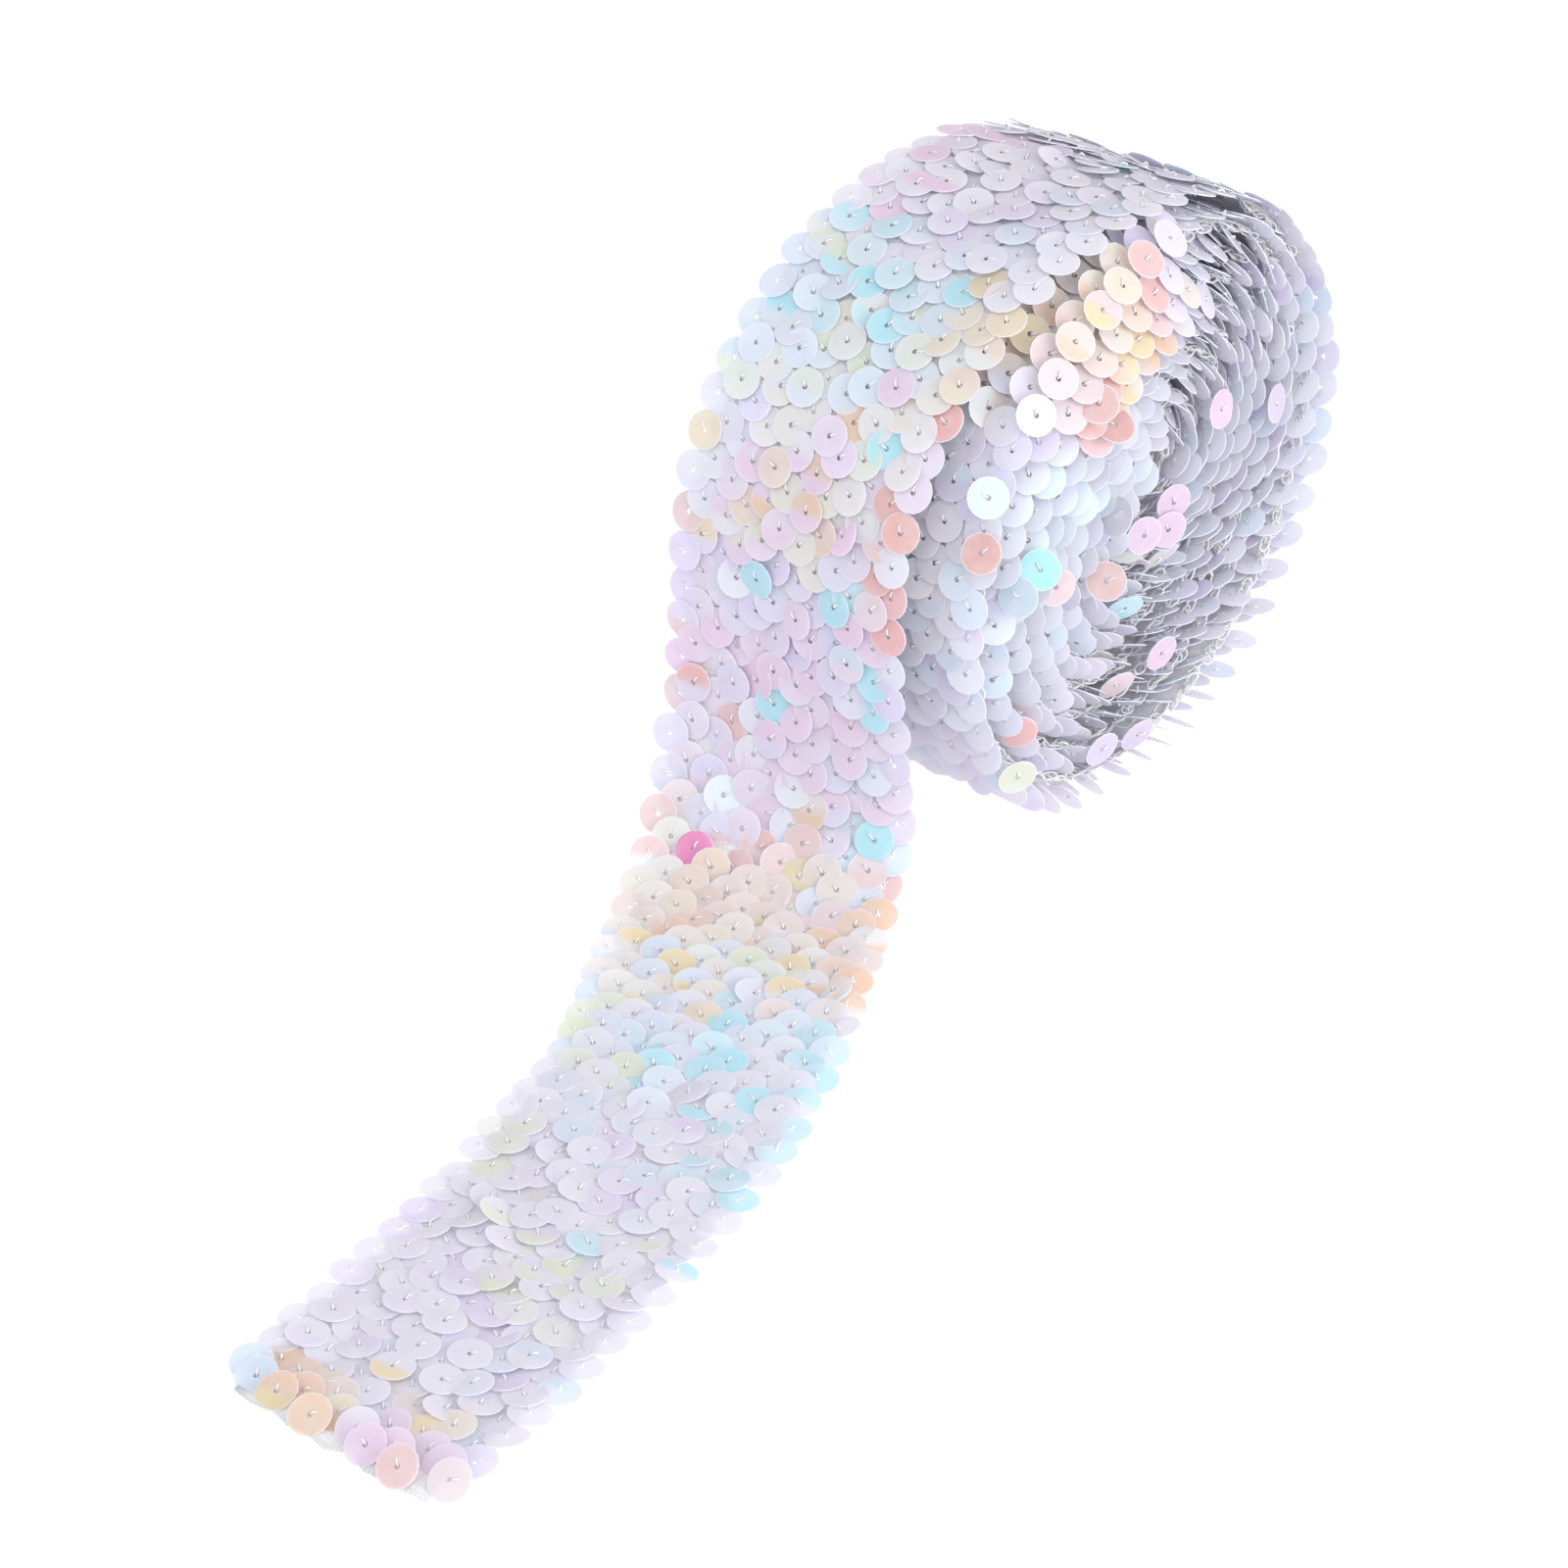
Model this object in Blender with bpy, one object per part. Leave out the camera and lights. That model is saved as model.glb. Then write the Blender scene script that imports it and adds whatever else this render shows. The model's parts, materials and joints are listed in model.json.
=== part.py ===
# Roll of sequin trim standing on its edge, with its loose end hung over the front
# and laid along the surface. Metres, +Z up, +X along the roll's axis.
import math

import bmesh
import bpy
from mathutils import Matrix, Vector

# Driving dimensions of the trim
STRIP_WIDTH = 0.0395
SEQUIN_DIAMETER = 0.006
SHEET_THICKNESS = 0.0026
EDGE_THICKNESS = 0.0010
SHOULDER_WIDTH = 0.0030

# Wound part: a spiral that grows by one pitch each turn
ROLL_RADIUS = 0.0482
TURN_PITCH = 0.0041
CORE_RADIUS = 0.0016
STEPS_PER_TURN = 60
ROLL_END_ANGLE = 60.0
RIDGE_WIDTH = 0.0014
GROOVE_DEPTH = 0.0055
RIM_CHAMFER = 0.0020
RIM_EASING_TURNS = 0.10
FLAT_SPOT_DEPTH = 0.0004
CORE_OFFSET = Vector((0.0, 0.0040, 0.0040))

# The middle turns lean: they stand proud at the upper front and sink opposite,
# and the core is sunk a little
LEAN_DEPTH = 0.0050
LEAN_TOWARDS = math.radians(125.0)
CORE_SUNK = 0.0012

# Loose end: where it leaves the roll, and how far it has slipped along the axis
LEAVING_ANGLE = 180.0
SHEET_START_ANGLE = ROLL_END_ANGLE - 10.0
SUNK_START = 0.0003
FUSED_THICKNESS = 0.0046
FUSED_UNTIL_ANGLE = 105.0
LOOSENED_RADIUS = 0.0525
SIDE_SLIP = -0.0080
ARC_STEP = 7.5
SCALLOP_DEPTH = 0.0011
STEPS_PER_SCALLOP = 4
LAID_HEIGHT = SHEET_THICKNESS / 2

# Centre line of the loose end below the roll's middle, in millimetres from the foot
# of the roll's axis: x, y, z, and the heading in degrees from -Y towards +X
HANGING_ROUTE = (
    # x, y, z, heading
    (-8.0, -51.4, 34.0, 2.0),
    (-7.8, -51.8, 22.0, 7.0),
    (-7.0, -53.6, 12.5, 13.0),
    (-5.2, -58.0, 5.6, 19.0),
    (-1.6, -65.5, 2.0, 23.0),
)
LAID_ROUTE = (
    # x, y, heading
    (4.6, -78.2, 25.0),
    (14.2, -97.0, 23.0),
    (19.8, -113.5, 17.5),
    (24.3, -130.0, 13.5),
    (27.6, -146.0, 10.0),
    (30.0, -162.0, 7.0),
    (31.7, -176.0, 5.5),
    (33.4, -194.0, 5.0),
)

WOUND_TURNS = (ROLL_RADIUS - CORE_RADIUS) / TURN_PITCH - 1.0
WOUND_STEPS = round(WOUND_TURNS * STEPS_PER_TURN)
AXIS_HEIGHT = ROLL_RADIUS - TURN_PITCH * 150.0 / 360.0 - FLAT_SPOT_DEPTH
MERGE_DISTANCE = 0.00001


def new_collection(name):
    collection = bpy.data.collections.new(name)
    bpy.context.scene.collection.children.link(collection)
    return collection


def plastic_material(name, colour, roughness):
    material = bpy.data.materials.new(name)
    material.use_nodes = True
    shader = material.node_tree.nodes["Principled BSDF"]
    shader.inputs["Base Color"].default_value = (*colour, 1.0)
    shader.inputs["Roughness"].default_value = roughness
    shader.inputs["Metallic"].default_value = 0.0
    return material


def mapped_grid(bm, columns, rows, place):
    """Adds a grid whose vertex (column, row) goes to the point that place returns."""
    made = bmesh.ops.create_grid(bm, x_segments=columns, y_segments=rows, size=0.5)
    for vert in made["verts"]:
        column = round((vert.co.x + 0.5) * columns)
        row = round((vert.co.y + 0.5) * rows)
        vert.co = place(column, row)


def smooth_step(value):
    clamped = min(max(value, 0.0), 1.0)
    return clamped * clamped * (3.0 - 2.0 * clamped)


# Wound part


def turn_depth(radius, angle):
    """How far the edge of the strip stands out along the axis at this place."""
    share = min(radius / ROLL_RADIUS, 1.0)
    lean = LEAN_DEPTH * 6.75 * share * share * (1.0 - share)
    return lean * math.cos(angle - LEAN_TOWARDS) - CORE_SUNK * (1.0 - share)


def spiral_point(radius, angle, side, groove):
    """A point of the roll's side face; side is +1 for the near face and -1 for the far one."""
    centre = CORE_OFFSET * (1.0 - min(radius / ROLL_RADIUS, 1.0))
    across = turn_depth(radius, angle) + side * (STRIP_WIDTH / 2 - groove)
    return Vector(
        (
            across,
            centre.y + radius * math.cos(angle),
            centre.z + radius * math.sin(angle) + AXIS_HEIGHT,
        )
    )


def edge_depth(turns, column):
    """Depth of the groove beside a turn, which eases into a chamfer along the roll's rim."""
    if column in (1, 2):
        return 0.0
    past_end = turns + 1 - WOUND_STEPS / STEPS_PER_TURN if column == 3 else 0.0
    ease = smooth_step(past_end / RIM_EASING_TURNS)
    return GROOVE_DEPTH + (RIM_CHAMFER - GROOVE_DEPTH) * ease


def side_face(bm, side):
    ridge = RIDGE_WIDTH / TURN_PITCH
    shares = (0.0, 0.5 - ridge / 2, 0.5 + ridge / 2, 1.0)

    def place(column, row):
        turns = row / STEPS_PER_TURN
        angle = math.radians(ROLL_END_ANGLE) + math.tau * (turns - WOUND_STEPS / STEPS_PER_TURN)
        radius = CORE_RADIUS + TURN_PITCH * (turns + shares[column])
        return spiral_point(radius, angle, side, edge_depth(turns, column))

    mapped_grid(bm, 3, WOUND_STEPS, place)


def boundary_loops(bm):
    """The open edges near the roll's rim, and those round its eye on each face."""
    rim, eyes = [], {1: [], -1: []}
    for edge in bm.edges:
        if not edge.is_boundary:
            continue
        middle = (edge.verts[0].co + edge.verts[1].co) / 2
        radius = math.hypot(middle.y, middle.z - AXIS_HEIGHT)
        if radius > ROLL_RADIUS / 2:
            rim.append(edge)
        else:
            eyes[1 if middle.x > 0 else -1].append(edge)
    return rim, eyes


def wound_roll(collection):
    bm = bmesh.new()
    side_face(bm, 1)
    side_face(bm, -1)
    bmesh.ops.remove_doubles(bm, verts=bm.verts, dist=MERGE_DISTANCE)
    rim, eyes = boundary_loops(bm)
    bmesh.ops.bridge_loops(bm, edges=rim)
    for edges in eyes.values():
        bmesh.ops.holes_fill(bm, edges=edges, sides=0)
    cut = bmesh.ops.bisect_plane(
        bm,
        geom=bm.verts[:] + bm.edges[:] + bm.faces[:],
        plane_co=(0, 0, 0),
        plane_no=(0, 0, -1),
        clear_outer=True,
    )
    flat_edges = [item for item in cut["geom_cut"] if isinstance(item, bmesh.types.BMEdge)]
    bmesh.ops.holes_fill(bm, edges=flat_edges, sides=0)
    bmesh.ops.triangulate(bm, faces=[face for face in bm.faces if len(face.verts) > 4])
    bmesh.ops.recalc_face_normals(bm, faces=bm.faces)
    return finished_object("wound_roll", bm, collection)


# Loose end


def outer_radius(angle):
    """Radius of the sequined side of the last part turn, which loosens towards the front."""
    share = (angle - ROLL_END_ANGLE) / (LEAVING_ANGLE - ROLL_END_ANGLE)
    grown = max(share, 0.0) ** 1.3 * (LOOSENED_RADIUS - ROLL_RADIUS)
    return ROLL_RADIUS + grown - SUNK_START * (1.0 - smooth_step(share * 6.0))


def sheet_thickness(angle):
    ease = smooth_step((angle - FUSED_UNTIL_ANGLE) / 40.0)
    return FUSED_THICKNESS + (SHEET_THICKNESS - FUSED_THICKNESS) * ease


def arc_rows():
    """Centre-line rows over the top of the roll: position, heading and thickness."""
    steps = round((LEAVING_ANGLE - SHEET_START_ANGLE) / ARC_STEP)
    rows = []
    for step in range(steps + 1):
        degrees = SHEET_START_ANGLE + (LEAVING_ANGLE - SHEET_START_ANGLE) * step / steps
        thickness = sheet_thickness(degrees)
        radius = outer_radius(degrees) - thickness / 2
        angle = math.radians(degrees)
        slip = SIDE_SLIP * smooth_step((degrees - ROLL_END_ANGLE) / (LEAVING_ANGLE - ROLL_END_ANGLE))
        point = Vector((slip, radius * math.cos(angle), radius * math.sin(angle) + AXIS_HEIGHT))
        rows.append((point, 0.0, thickness))
    return rows


def route_rows():
    rows = arc_rows()
    for x, y, z, heading in HANGING_ROUTE:
        rows.append((Vector((x, y, z)) / 1000, math.radians(heading), SHEET_THICKNESS))
    for x, y, heading in LAID_ROUTE:
        point = Vector((x / 1000, y / 1000, LAID_HEIGHT))
        rows.append((point, math.radians(heading), SHEET_THICKNESS))
    return rows


def blend(a, b, c, d, share):
    """Catmull-Rom value between b and c."""
    return b + 0.5 * share * (
        (c - a) + share * ((2 * a - 5 * b + 4 * c - d) + share * (3 * (b - c) + d - a))
    )


def stations(spacing):
    """Centre-line rows resampled at even spacing, kept above the surface."""
    rows = route_rows()
    fine = []
    parts = 24
    for index in range(len(rows) - 1):
        around = [rows[min(max(index + offset, 0), len(rows) - 1)] for offset in (-1, 0, 1, 2)]
        for part in range(parts):
            share = part / parts
            fine.append(tuple(blend(*[row[key] for row in around], share) for key in range(3)))
    fine.append(rows[-1])
    even = [fine[0]]
    travelled = 0.0
    for before, after in zip(fine, fine[1:]):
        travelled += (after[0] - before[0]).length
        if travelled >= spacing:
            even.append(after)
            travelled -= spacing
    for point, _, thickness in even:
        point.z = max(point.z, thickness / 2)
    return even


def section_corners(half_width_left, half_width_right, thickness):
    """The strip's section, flat below and raised between its thin edges."""
    low = -thickness / 2
    return (
        (-half_width_left, low),
        (-half_width_left, low + EDGE_THICKNESS),
        (-half_width_left + SHOULDER_WIDTH, -low),
        (half_width_right - SHOULDER_WIDTH, -low),
        (half_width_right, low + EDGE_THICKNESS),
        (half_width_right, low),
    )


def scalloped_half_width(step, phase):
    wave = abs(math.sin(math.pi * (step / STEPS_PER_SCALLOP + phase)))
    return STRIP_WIDTH / 2 - SCALLOP_DEPTH * (1.0 - wave)


def loose_end(collection):
    spacing = SEQUIN_DIAMETER / STEPS_PER_SCALLOP
    line = stations(spacing)
    frames = []
    for index, (point, heading, thickness) in enumerate(line):
        ahead = line[min(index + 1, len(line) - 1)][0]
        behind = line[max(index - 1, 0)][0]
        along = (ahead - behind).normalized()
        across = Vector((math.cos(heading), math.sin(heading), 0.0))
        across = (across - along * across.dot(along)).normalized()
        left = scalloped_half_width(index, 0.0)
        right = scalloped_half_width(index, 0.5)
        corners = section_corners(left, right, thickness)
        frames.append((point, across, along.cross(across), corners))
    corner_count = len(frames[0][3])

    def place(column, row):
        point, across, up, corners = frames[row]
        sideways, height = corners[column % corner_count]
        return point + across * sideways + up * height

    bm = bmesh.new()
    mapped_grid(bm, corner_count, len(frames) - 1, place)
    bmesh.ops.remove_doubles(bm, verts=bm.verts, dist=MERGE_DISTANCE)
    ends = [edge for edge in bm.edges if edge.is_boundary]
    bmesh.ops.holes_fill(bm, edges=ends, sides=0)
    bmesh.ops.recalc_face_normals(bm, faces=bm.faces)
    return finished_object("loose_end_sheet", bm, collection)


def finished_object(name, bm, collection):
    mesh = bpy.data.meshes.new(name)
    bm.to_mesh(mesh)
    bm.free()
    obj = bpy.data.objects.new(name, mesh)
    collection.objects.link(obj)
    return obj


def joined_trim(roll, sheet, collection):
    """One solid from the roll and its loose end, with the footprint's middle at the origin."""
    union = roll.modifiers.new("loose_end", "BOOLEAN")
    union.operation = "UNION"
    union.object = sheet
    union.solver = "EXACT"
    graph = bpy.context.evaluated_depsgraph_get()
    mesh = bpy.data.meshes.new_from_object(roll.evaluated_get(graph))
    bpy.data.objects.remove(roll)
    bpy.data.objects.remove(sheet)
    for axis in (0, 1):
        places = [vert.co[axis] for vert in mesh.vertices]
        shift = Vector((0.0, 0.0, 0.0))
        shift[axis] = -(min(places) + max(places)) / 2
        mesh.transform(Matrix.Translation(shift))
    trim = bpy.data.objects.new("sequin_trim", mesh)
    trim.data.name = "sequin_trim"
    trim.data.shade_smooth()
    trim.data.set_sharp_from_angle(angle=math.radians(35.0))
    trim.data.materials.clear()
    trim.data.materials.append(plastic_material("pearl_sequin", (0.80, 0.78, 0.86), 0.25))
    collection.objects.link(trim)
    return trim


def main():
    for obj in list(bpy.data.objects):
        bpy.data.objects.remove(obj)
    collection = new_collection("sequin_trim_roll")
    roll = wound_roll(collection)
    sheet = loose_end(collection)
    joined_trim(roll, sheet, collection)


main()
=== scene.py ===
import json
import math
import random

import bmesh
import bpy
import numpy as np
from mathutils import Euler, Matrix, Vector


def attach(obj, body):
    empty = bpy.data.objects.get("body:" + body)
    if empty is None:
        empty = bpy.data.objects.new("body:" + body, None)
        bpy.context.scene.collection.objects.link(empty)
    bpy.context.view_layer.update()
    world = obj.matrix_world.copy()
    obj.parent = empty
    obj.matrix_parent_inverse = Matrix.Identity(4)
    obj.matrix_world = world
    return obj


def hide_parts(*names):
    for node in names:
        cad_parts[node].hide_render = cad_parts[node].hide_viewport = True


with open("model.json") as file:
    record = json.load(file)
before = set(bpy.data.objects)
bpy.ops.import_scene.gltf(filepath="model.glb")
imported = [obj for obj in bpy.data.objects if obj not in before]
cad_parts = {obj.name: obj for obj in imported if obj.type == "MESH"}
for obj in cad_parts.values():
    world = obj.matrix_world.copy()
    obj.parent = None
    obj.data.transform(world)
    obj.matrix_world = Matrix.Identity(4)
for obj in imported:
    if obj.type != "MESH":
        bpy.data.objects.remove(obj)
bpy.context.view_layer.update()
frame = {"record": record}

rollFoot = Vector(frame["record"]["mounts"][0]["pos_m"])  # where the roll touches the floor
print("frame loaded, roll stands at", tuple(round(v, 4) for v in rollFoot))

# The trim's route. Places are metres from the roll's foot, and angles run from +Y up towards +Z

strip = {  # metres
    "groundWidth": 0.0335,
    "groundThickness": 0.0003,
    "stackHeight": 0.00245,  # from the ground cloth to the sequins' tops
    "stationStep": 0.0010,
}

roll = {  # metres and degrees
    "radius": 0.0482,
    "pitch": 0.0041,
    "coreRadius": 0.0016,
    "endAngle": 60.0,
    "stepsPerTurn": 60,
    "coreOffset": 0.0040,
    "leanDepth": 0.0050,
    "leanTowards": 125.0,
    "coreSunk": 0.0012,
    "flatSpot": 0.0004,
    "floorToEnd": 150.0,  # the winding goes on this far past the floor
    "eyeTurns": -0.50,  # the cloth starts this far inside the first whole turn
    "outerTurns": 1.30,  # as much of the winding shows its outer side
}

looseEnd = {
    "leavingAngle": 180.0,
    "loosenedRadius": 0.0525,
    "sideSlip": -0.0080,
    "fusedThickness": 0.0046,
    "fusedUntil": 105.0,
    "fusedFade": 40.0,
    "thickness": 0.0026,
    "loosening": 1.3,  # above 1, the turn comes away late
    "arcStep": 7.5,
    "partsPerRow": 12,
    "joinedAt": 3,  # the winding goes over into this part of the first row
}

hangingRoute = (  # x, y, z in millimetres, and the heading in degrees from -Y towards +X
    (-8.0, -51.4, 34.0, 2.0),
    (-7.8, -51.8, 22.0, 7.0),
    (-7.0, -53.6, 12.5, 13.0),
    (-5.2, -58.0, 5.6, 19.0),
    (-1.6, -65.5, 2.0, 23.0),
)
laidRoute = (  # x, y, heading
    (4.6, -78.2, 25.0),
    (14.2, -97.0, 23.0),
    (19.8, -113.5, 17.5),
    (24.3, -130.0, 13.5),
    (27.6, -146.0, 10.0),
    (30.0, -162.0, 7.0),
    (31.7, -176.0, 5.5),
    (33.4, -194.0, 5.0),
)

axisHeight = roll["radius"] - roll["pitch"] * roll["floorToEnd"] / 360 - roll["flatSpot"]
woundSteps = round(((roll["radius"] - roll["coreRadius"]) / roll["pitch"] - 1) * roll["stepsPerTurn"])
woundTurns = woundSteps / roll["stepsPerTurn"]


def smoothStep(value):
    clamped = min(max(value, 0.0), 1.0)
    return clamped * clamped * (3 - 2 * clamped)


def woundStation(turns):  # middle of the ground cloth, across and up, so many turns from the eye
    angle = math.radians(roll["endAngle"] + 360 * (turns - woundTurns))
    ridge = roll["coreRadius"] + roll["pitch"] * (turns + 0.5)
    share = min(ridge / roll["radius"], 1.0)
    lean = roll["leanDepth"] * 6.75 * share * share * (1 - share)  # 6.75 makes leanDepth its highest
    depth = lean * math.cos(angle - math.radians(roll["leanTowards"])) - roll["coreSunk"] * (1 - share)
    radius = ridge + roll["pitch"] / 2 - strip["stackHeight"]
    offset = roll["coreOffset"] * (1 - share)
    outward = Vector((0, math.cos(angle), math.sin(angle)))
    middle = Vector((depth, offset, offset + axisHeight)) + outward * radius
    return middle, Vector((1, 0, 0)), outward


def looseRows():  # centre line of the loose end as in the solid: place, heading and thickness
    rows = []
    span = looseEnd["leavingAngle"] - roll["endAngle"]
    steps = round(span / looseEnd["arcStep"])
    for step in range(steps + 1):
        share = step / steps
        degrees = roll["endAngle"] + span * share
        ease = smoothStep((degrees - looseEnd["fusedUntil"]) / looseEnd["fusedFade"])
        thickness = looseEnd["fusedThickness"] + (looseEnd["thickness"] - looseEnd["fusedThickness"]) * ease
        loosened = share ** looseEnd["loosening"]
        outer = roll["radius"] + loosened * (looseEnd["loosenedRadius"] - roll["radius"])
        radius = outer - thickness / 2
        angle = math.radians(degrees)
        slip = looseEnd["sideSlip"] * smoothStep(share)
        place = Vector((slip, radius * math.cos(angle), radius * math.sin(angle) + axisHeight))
        rows.append((place, 0.0, thickness))
    for x, y, z, heading in hangingRoute:
        rows.append((Vector((x, y, z)) / 1000, math.radians(heading), looseEnd["thickness"]))
    for x, y, heading in laidRoute:
        place = Vector((x / 1000, y / 1000, looseEnd["thickness"] / 2))
        rows.append((place, math.radians(heading), looseEnd["thickness"]))
    return rows


def between(a, b, c, d, share):  # Catmull-Rom, from b to c
    bend = 2 * a - 5 * b + 4 * c - d
    twist = 3 * (b - c) + d - a
    return b + 0.5 * share * ((c - a) + share * (bend + share * twist))


def looseStations():
    rows = looseRows()
    fine = []
    for index in range(len(rows) - 1):
        around = [rows[min(max(index + offset, 0), len(rows) - 1)] for offset in (-1, 0, 1, 2)]
        for part in range(looseEnd["partsPerRow"]):
            share = part / looseEnd["partsPerRow"]
            fine.append(tuple(between(*[row[key] for row in around], share) for key in range(3)))
    fine.append(rows[-1])
    stations = []
    for index, (place, heading, thickness) in enumerate(fine):
        ahead = fine[min(index + 1, len(fine) - 1)][0]
        behind = fine[max(index - 1, 0)][0]
        along = (ahead - behind).normalized()
        across = Vector((math.cos(heading), math.sin(heading), 0))
        across = (across - along * across.dot(along)).normalized()
        up = along.cross(across)
        centre = Vector((place.x, place.y, max(place.z, thickness / 2)))
        stations.append((centre + up * (thickness / 2 - strip["stackHeight"]), across, up))
    return stations


def wholeRoute():  # stations of the ground cloth from the eye to the cut end
    stations = []
    turnMarks = []
    turns = roll["eyeTurns"]
    while turns < woundTurns:
        stations.append(woundStation(turns))
        turnMarks.append(turns)
        radius = roll["coreRadius"] + roll["pitch"] * (turns + 1)
        turns += strip["stationStep"] / (math.tau * radius)
    stations += looseStations()[looseEnd["joinedAt"]:]
    middles = np.array([station[0] for station in stations])
    steps = np.linalg.norm(np.diff(middles, axis=0), axis=1)
    travelled = np.concatenate(([0.0], np.cumsum(steps)))
    acrosses = np.array([station[1] for station in stations])
    ups = np.array([station[2] for station in stations])
    return travelled, middles, acrosses, ups, turnMarks


travelled, middles, acrosses, ups, turnMarks = wholeRoute()
trimLength = float(travelled[-1])
woundLength = float(travelled[len(turnMarks) - 1])
print("trim is", round(trimLength, 3), "m long")


def spread(distances, table):
    return np.stack([np.interp(distances, travelled, table[:, axis]) for axis in range(3)], axis=1)


def placesOn(distances, sideways, heights):  # places on the trim, with across, along and up there
    distances = np.asarray(distances, float)
    across = spread(distances, acrosses)
    up = spread(distances, ups)
    across /= np.linalg.norm(across, axis=1)[:, None]
    up -= across * np.sum(across * up, axis=1)[:, None]
    up /= np.linalg.norm(up, axis=1)[:, None]
    along = np.cross(across, up)
    places = spread(distances, middles)
    places += across * np.asarray(sideways)[:, None]
    places += up * np.asarray(heights)[:, None]
    places += along * np.clip(distances - trimLength, 0, None)[:, None]  # straight on past the cut end
    return places + np.array(rollFoot), across, along, up


def distanceAtTurn(turns):
    return float(np.interp(turns, turnMarks, travelled[:len(turnMarks)]))


def turnAt(distance):  # turns from the eye, and the angle there from +Y up towards +Z
    turns = float(np.interp(distance, travelled[:len(turnMarks)], turnMarks))
    return turns, (roll["endAngle"] + 360 * (turns - woundTurns)) % 360


def readTable(value, table):  # straight lines between the rows of a table with two columns
    inputs, results = zip(*table)
    return float(np.interp(value, inputs, results))


# Materials


def newMaterial(name, settings):
    material = bpy.data.materials.new(name)
    material.use_nodes = True
    shader = material.node_tree.nodes["Principled BSDF"]
    for socket, value in settings.items():
        shader.inputs[socket].default_value = value
    return material, material.node_tree, shader


def addNode(tree, kind, inputs=None, **settings):
    node = tree.nodes.new(kind)
    for key, value in settings.items():
        setattr(node, key, value)
    for socket, value in (inputs or {}).items():
        if isinstance(value, bpy.types.NodeSocket):
            tree.links.new(value, node.inputs[socket])
        else:
            node.inputs[socket].default_value = value
    return node


def mixedColour(tree, factor, first, second):  # the Mix node's colour sockets are numbers 6 and 7
    return addNode(tree, "ShaderNodeMix", {0: factor, 6: first, 7: second}, data_type="RGBA").outputs[2]


def readAttribute(tree, name, output="Fac"):
    return addNode(tree, "ShaderNodeAttribute", attribute_name=name).outputs[output]


def fadeBetween(tree, value, start, stop, most=1.0):
    settings = {"Value": value, "From Min": start, "From Max": stop, "To Max": most}
    return addNode(tree, "ShaderNodeMapRange", settings).outputs["Result"]


def addRelief(tree, shader, height, strength, depth):
    bump = addNode(tree, "ShaderNodeBump", {"Height": height, "Strength": strength, "Distance": depth})
    tree.links.new(bump.outputs["Normal"], shader.inputs["Normal"])


def letLightThrough(tree, shader, colour, share):  # thin plastic and thin cloth glow with the light behind
    through = addNode(tree, "ShaderNodeBsdfTranslucent", {"Color": colour}).outputs["BSDF"]
    both = addNode(tree, "ShaderNodeMixShader", {0: share, 1: shader.outputs["BSDF"], 2: through})
    tree.links.new(both.outputs["Shader"], tree.nodes["Material Output"].inputs["Surface"])


film = {
    "roughness": 0.24,
    "plasticIor": 1.5,
    "thickness": 335.0,  # nanometres
    "filmIor": 1.8,
    "neighbourReflectionFrom": (0.42, 0.66),  # share of the way to the free side where the second tint, a painted shadow and reflection of the neighbouring sequin, comes in
    # painted highlight: the near white that the cut rim takes where it catches the light; the pale mottle
    # mixes towards it too
    "rimColour": (0.98, 0.97, 1.0, 1),
    "rimHighlightFade": (0.935, 0.975),  # share of the way from the hole to the cut rim over which the painted rim highlight comes in
    "mottle": 420.0,
    "mottleFade": (0.45, 0.75),
    "mottleMost": 0.25,
    "lightThrough": 0.42,
}


def pearlFilm():  # each sequin's two tints, its cut rim and its free side come from attributes; the cut rim is a painted highlight in near white, and the second tint on the free side is a painted shadow and reflection of the neighbouring sequin
    material, tree, shader = newMaterial("pearlFilm", {
        "Roughness": film["roughness"],
        "IOR": film["plasticIor"],
        "Thin Film Thickness": film["thickness"],
        "Thin Film IOR": film["filmIor"],
    })
    place = addNode(tree, "ShaderNodeTexCoord").outputs["Object"]
    cloud = addNode(tree, "ShaderNodeTexNoise", {"Vector": place, "Scale": film["mottle"]}).outputs["Fac"]
    # painted shadow and reflection: the free side takes a second tint
    neighbourReflectionShare = fadeBetween(tree, readAttribute(tree, "fore"), *film["neighbourReflectionFrom"])
    tinted = mixedColour(tree, neighbourReflectionShare, readAttribute(tree, "tint", "Color"),
                         readAttribute(tree, "neighbourReflectionTint", "Color"))
    paleShare = fadeBetween(tree, cloud, *film["mottleFade"], film["mottleMost"])
    mottled = mixedColour(tree, paleShare, tinted, film["rimColour"])
    # painted highlight: near the cut rim the colour goes over to near white
    rimHighlightShare = fadeBetween(tree, readAttribute(tree, "rim"), *film["rimHighlightFade"])
    colour = mixedColour(tree, rimHighlightShare, mottled, film["rimColour"])
    tree.links.new(colour, shader.inputs["Base Color"])
    letLightThrough(tree, shader, colour, film["lightThrough"])
    return material


threadLook = {
    "colour": (0.97, 0.97, 0.98, 1),
    "roughness": 0.10,
    "ior": 1.52,
    "coat": 0.5,
    "coatRoughness": 0.04,
    "fibres": 2600.0,
    "fibreStrength": 0.5,
    "fibreDepth": 0.0001,
    "lightThrough": 0.40,
}


def clearThread():
    material, tree, shader = newMaterial("clearThread", {
        "Base Color": threadLook["colour"],
        "Roughness": threadLook["roughness"],
        "IOR": threadLook["ior"],
        "Coat Weight": threadLook["coat"],
        "Coat Roughness": threadLook["coatRoughness"],
    })
    place = addNode(tree, "ShaderNodeTexCoord").outputs["Object"]
    noise = {"Vector": place, "Scale": threadLook["fibres"], "Detail": 2.0}
    fibres = addNode(tree, "ShaderNodeTexNoise", noise).outputs["Fac"]
    addRelief(tree, shader, fibres, threadLook["fibreStrength"], threadLook["fibreDepth"])
    letLightThrough(tree, shader, threadLook["colour"], threadLook["lightThrough"])
    return material


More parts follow.
